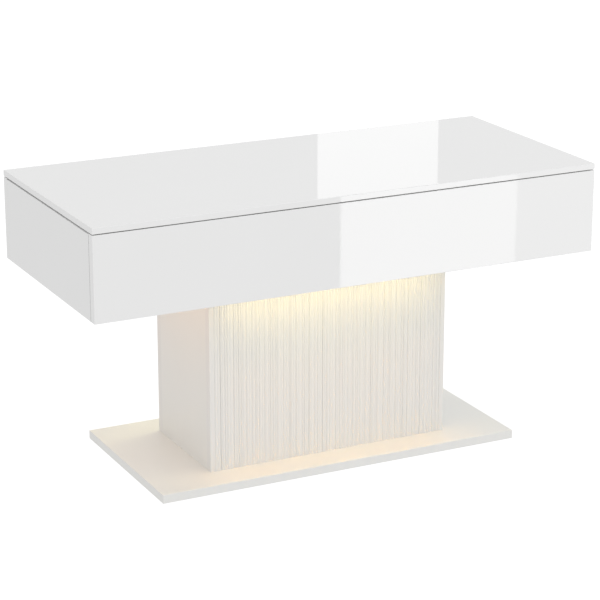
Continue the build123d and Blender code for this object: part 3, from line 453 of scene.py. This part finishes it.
def make_floor():
    """A pale floor: near-white to the camera with a trace of shadow, a soft grey bounce to the table."""
    mesh = bpy.data.meshes.new("floor")
    form = bmesh.new()
    bmesh.ops.create_circle(form, cap_ends=True, segments=FLOOR_SIDES, radius=FLOOR_RADIUS)
    form.to_mesh(mesh)
    form.free()
    floor = bpy.data.objects.new("floor", mesh)
    bpy.context.scene.collection.objects.link(floor)
    material = emission("floor", (1.0, 1.0, 1.0), FLOOR_BOUNCE)
    tree = material.node_tree
    bounce = tree.nodes["Emission"]
    seen = tree.nodes.new("ShaderNodeEmission")
    seen.inputs["Strength"].default_value = FLOOR_SEEN
    paint = tree.nodes.new("ShaderNodeBsdfDiffuse")
    paint.inputs["Color"].default_value = FLOOR_PAINT
    plus = tree.nodes.new("ShaderNodeAddShader")
    tree.links.new(seen.outputs["Emission"], plus.inputs[0])
    tree.links.new(paint.outputs["BSDF"], plus.inputs[1])
    choice = tree.nodes.new("ShaderNodeMixShader")
    tree.links.new(tree.nodes.new("ShaderNodeLightPath").outputs["Is Camera Ray"], choice.inputs["Fac"])
    tree.links.new(bounce.outputs["Emission"], choice.inputs[1])
    tree.links.new(plus.outputs["Shader"], choice.inputs[2])
    tree.links.new(choice.outputs["Shader"], tree.nodes["Material Output"].inputs["Surface"])
    mesh.materials.append(material)


def upright_card(name, place, strength):
    """An upright panel that only shows in reflections, given its spans in X and Z and its place in Y."""
    (x0, x1), y, (z0, z1) = place["x"], place["y"], place["z"]
    mesh = bpy.data.meshes.new(name)
    mesh.from_pydata([(x0, y, z0), (x1, y, z0), (x1, y, z1), (x0, y, z1)], [], [(0, 1, 2, 3)])
    mesh.materials.append(emission(name, (1.0, 1.0, 1.0), strength))
    card = bpy.data.objects.new(name, mesh)
    bpy.context.scene.collection.objects.link(card)
    card.visible_camera = False
    card.visible_diffuse = False
    card.visible_shadow = False
    card.visible_transmission = False


def light_down(name, place, size, watts, colour, beam=180.0):
    """A flat light that shines straight down and doesn't show in reflections."""
    data = bpy.data.lights.new(name, "AREA")
    data.shape = "RECTANGLE"
    data.size, data.size_y = size
    data.energy = watts
    data.color = colour
    data.spread = math.radians(beam)
    light = bpy.data.objects.new(name, data)
    bpy.context.scene.collection.objects.link(light)
    light.location = place
    light.visible_glossy = False


def light_line(name, channel, beam):
    """One part of the light that a LED channel throws down, a little longer than the channel."""
    low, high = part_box(channel)
    place = ((low.x + high.x) / 2, (low.y + high.y) / 2, low.z - LED_DROP)
    size = (high.x - low.x + LED_OVERREACH, high.y - low.y - LED_INSET)
    light_down(name, place, size, beam["watts"], beam["colour"], beam["beam"])


def spill_light():
    """The light lines' warm spill under the left end of the box, beside the pedestal."""
    box_low, box_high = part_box("box_bottom_panel")
    pedestal_low, pedestal_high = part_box("fluted_front_panel")
    place = ((box_low.x + pedestal_low.x) / 2, 0, box_low.z - SPILL_DROP)
    size = (box_high.x - pedestal_high.x - SPILL_INSET_X, box_high.y - box_low.y - SPILL_INSET_Y)
    light_down("left_spill", place, size, SPILL_WATTS, SPILL_WARM)


def make_world():
    """White to the camera; to the object a soft room, lighter in front and to the right."""
    world = bpy.data.worlds.new("room")
    bpy.context.scene.world = world
    world.use_nodes = True
    tree = world.node_tree
    tree.nodes.clear()

    def math_node(operation, first, second):
        node = tree.nodes.new("ShaderNodeMath")
        node.operation = operation
        for socket, value in zip(node.inputs, (first, second)):
            if isinstance(value, float):
                socket.default_value = value
            else:
                tree.links.new(value, socket)
        return node.outputs["Value"]

    direction = tree.nodes.new("ShaderNodeTexCoord").outputs["Generated"]
    split = tree.nodes.new("ShaderNodeSeparateXYZ")
    tree.links.new(direction, split.inputs["Vector"])
    level = math_node("MULTIPLY", split.outputs["Z"], ROOM_UP)
    level = math_node("ADD", level, math_node("MULTIPLY", split.outputs["X"], ROOM_RIGHT))
    level = math_node("ADD", level, math_node("MULTIPLY", split.outputs["Y"], -ROOM_FRONT))
    level = math_node("ADD", level, ROOM_LEVEL)
    level = math_node("MAXIMUM", level, ROOM_LEAST)
    room = tree.nodes.new("ShaderNodeBackground")
    tree.links.new(level, room.inputs["Strength"])
    white = tree.nodes.new("ShaderNodeBackground")
    white.inputs["Color"].default_value = (1.0, 1.0, 1.0, 1.0)
    mix = tree.nodes.new("ShaderNodeMixShader")
    tree.links.new(tree.nodes.new("ShaderNodeLightPath").outputs["Is Camera Ray"], mix.inputs["Fac"])
    tree.links.new(room.outputs["Background"], mix.inputs[1])
    tree.links.new(white.outputs["Background"], mix.inputs[2])
    output = tree.nodes.new("ShaderNodeOutputWorld")
    tree.links.new(mix.outputs["Shader"], output.inputs["Surface"])


def make_camera():
    data = bpy.data.cameras.new("camera")
    data.lens = CAMERA_LENS_MM
    data.sensor_width = CAMERA_SENSOR_MM
    data.clip_end = CAMERA_REACH
    camera = bpy.data.objects.new("camera", data)
    bpy.context.scene.collection.objects.link(camera)
    azimuth = math.radians(CAMERA_AZIMUTH)
    elevation = math.radians(CAMERA_ELEVATION)
    level = math.cos(elevation)
    forward = Vector((-math.sin(azimuth) * level, math.cos(azimuth) * level, -math.sin(elevation)))
    camera.location = CAMERA_PLACE
    camera.rotation_euler = forward.to_track_quat("-Z", "Y").to_euler()
    bpy.context.scene.camera = camera


def make_stage():
    bpy.context.scene.view_settings.view_transform = "Standard"
    make_world()
    make_floor()
    upright_card("lid_card", LID_CARD, LID_CARD_GLOW)
    upright_card("front_card", FRONT_CARD, FRONT_CARD_GLOW)
    upright_card("front_dim_card", FRONT_DIM_CARD, FRONT_DIM_CARD_GLOW)
    light_line("front_light_wide", "front_led_channel", LED_WIDE)
    light_line("front_light_peak", "front_led_channel", LED_PEAK)
    light_line("rear_light_line", "rear_led_channel", LED_REAR)
    spill_light()
    make_camera()


make_stage()
dress_cad_nodes()
make_spring("right_lift_spring", "right_spring")
make_spring("left_lift_spring", "left_spring")
